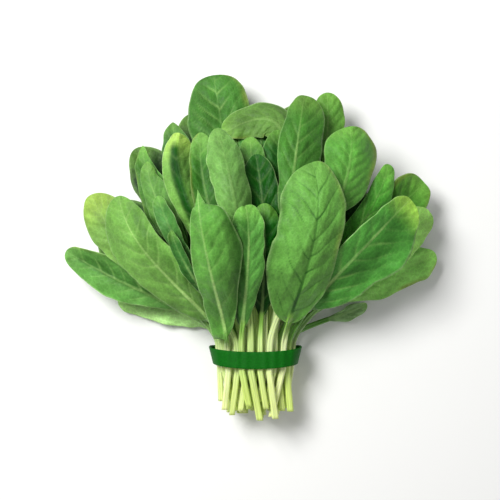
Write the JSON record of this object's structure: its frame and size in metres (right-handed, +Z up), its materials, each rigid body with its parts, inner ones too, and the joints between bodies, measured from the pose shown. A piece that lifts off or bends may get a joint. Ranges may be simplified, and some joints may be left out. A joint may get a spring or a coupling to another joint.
{
  "type": "spinach bunch",
  "caption": "Fresh spinach bunch lying on its side: a fan of oval leaves on long cut stems, gathered by a flat tie band.",
  "frame": {"origin": "on the surface the bunch lies on, under the middle of the tie band", "axes": "+Y along the stems from the cut ends to the leaf tips, +X to the right seen from above, +Z up"},
  "size_m": [0.2683, 0.2459, 0.1033],
  "materials": {
    "leaf": "satin",
    "tie_band": "matte"
  },
  "bodies": {
    "root": {"tie_band": "tie_band", "under_leaf_01": "leaf", "under_leaf_02": "leaf", "under_leaf_03": "leaf", "under_leaf_04": "leaf", "under_leaf_05": "leaf", "under_leaf_06": "leaf", "under_leaf_07": "leaf", "under_leaf_08": "leaf", "under_leaf_09": "leaf", "under_leaf_10": "leaf", "under_leaf_11": "leaf", "under_leaf_12": "leaf", "under_leaf_13": "leaf", "under_leaf_14": "leaf", "under_leaf_15": "leaf", "left_low_leaf": "leaf", "right_small_leaf": "leaf", "left_side_leaf": "leaf", "right_side_leaf": "leaf", "back_left_tip_leaf": "leaf", "back_top_leaf": "leaf", "back_centre_leaf": "leaf", "left_pointed_leaf": "leaf", "back_right_leaf": "leaf", "right_far_leaf": "leaf", "right_edge_leaf": "leaf", "left_outer_leaf": "leaf", "left_inner_leaf": "leaf", "top_bent_leaf": "leaf", "centre_back_leaf": "leaf", "dark_centre_leaf": "leaf", "right_mid_leaf": "leaf", "folded_leaf": "leaf", "short_dark_leaf": "leaf", "small_tip_leaf": "leaf", "left_slim_leaf": "leaf", "upper_right_leaf": "leaf", "right_round_leaf": "leaf", "upper_left_leaf": "leaf", "left_broad_leaf": "leaf", "slim_front_leaf": "leaf", "shaded_leaf": "leaf", "bright_centre_leaf": "leaf", "right_front_leaf": "leaf", "front_centre_leaf": "leaf", "front_right_leaf": "leaf", "front_left_leaf": "leaf"}
  },
  "joints": []
}
